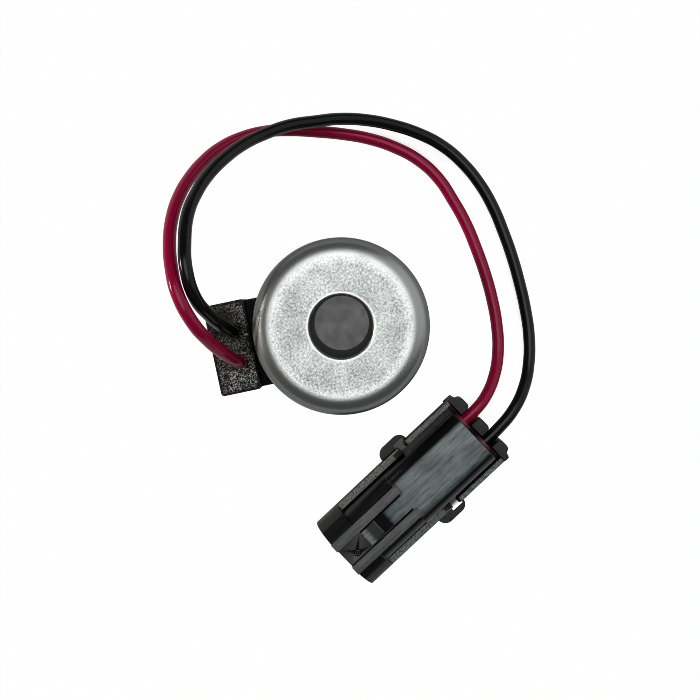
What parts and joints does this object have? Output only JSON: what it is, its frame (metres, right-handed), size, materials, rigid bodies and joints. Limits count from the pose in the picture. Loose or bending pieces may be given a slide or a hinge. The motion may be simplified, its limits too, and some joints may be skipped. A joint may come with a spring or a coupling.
{
  "type": "solenoid valve coil",
  "caption": "Round steel-cased solenoid coil with a stem bore, side lead block, red and black leads and a sealed pin connector with a hinged rear lock.",
  "frame": {"origin": "on the stem bore's axis, at the plane of the coil's base, which is the table it stands on", "axes": "+Z along the stem bore, out of the can's flat end; +X along the connector, from its open mouth to its lead end"},
  "size_m": [0.083, 0.0984, 0.0424],
  "materials": {
    "plated_steel": "bright zinc plate, finely mottled",
    "bobbin_nylon": "moulded, satin",
    "copper": "enamelled copper",
    "tape": "polyester tape",
    "moulding": "coarse moulded, matt",
    "tinned_brass": "tin plate, satin",
    "black_insulation": "extruded, soft gloss",
    "red_insulation": "extruded, soft gloss",
    "connector_nylon": "moulded, soft gloss",
    "seal_silicone": "moulded silicone"
  },
  "bodies": {
    "coil": {"can": "plated_steel", "base_washer": "plated_steel", "bobbin": "bobbin_nylon", "winding": "copper", "start_wire": "copper", "finish_wire": "copper", "black_strand": "copper", "red_strand": "copper", "winding_tape": "tape", "encapsulation": "moulding", "black_splice": "tinned_brass", "red_splice": "tinned_brass", "black_terminal": "tinned_brass", "red_terminal": "tinned_brass", "black_lead": "black_insulation", "red_lead": "red_insulation", "connector_housing": "connector_nylon", "left_hinge_strap": "connector_nylon", "right_hinge_strap": "connector_nylon", "black_seal": "seal_silicone", "red_seal": "seal_silicone"},
    "secondary_lock": {"secondary_lock": "connector_nylon"}
  },
  "joints": [
    {"name": "secondary_lock_hinge", "type": "hinge", "parent": "coil", "child": "secondary_lock", "pos_m": [-0.0073, -0.0388, 0.007], "axis": [0, 1, 0], "range_deg": [0, 100], "deforming": ["left_hinge_strap", "right_hinge_strap"]}
  ]
}
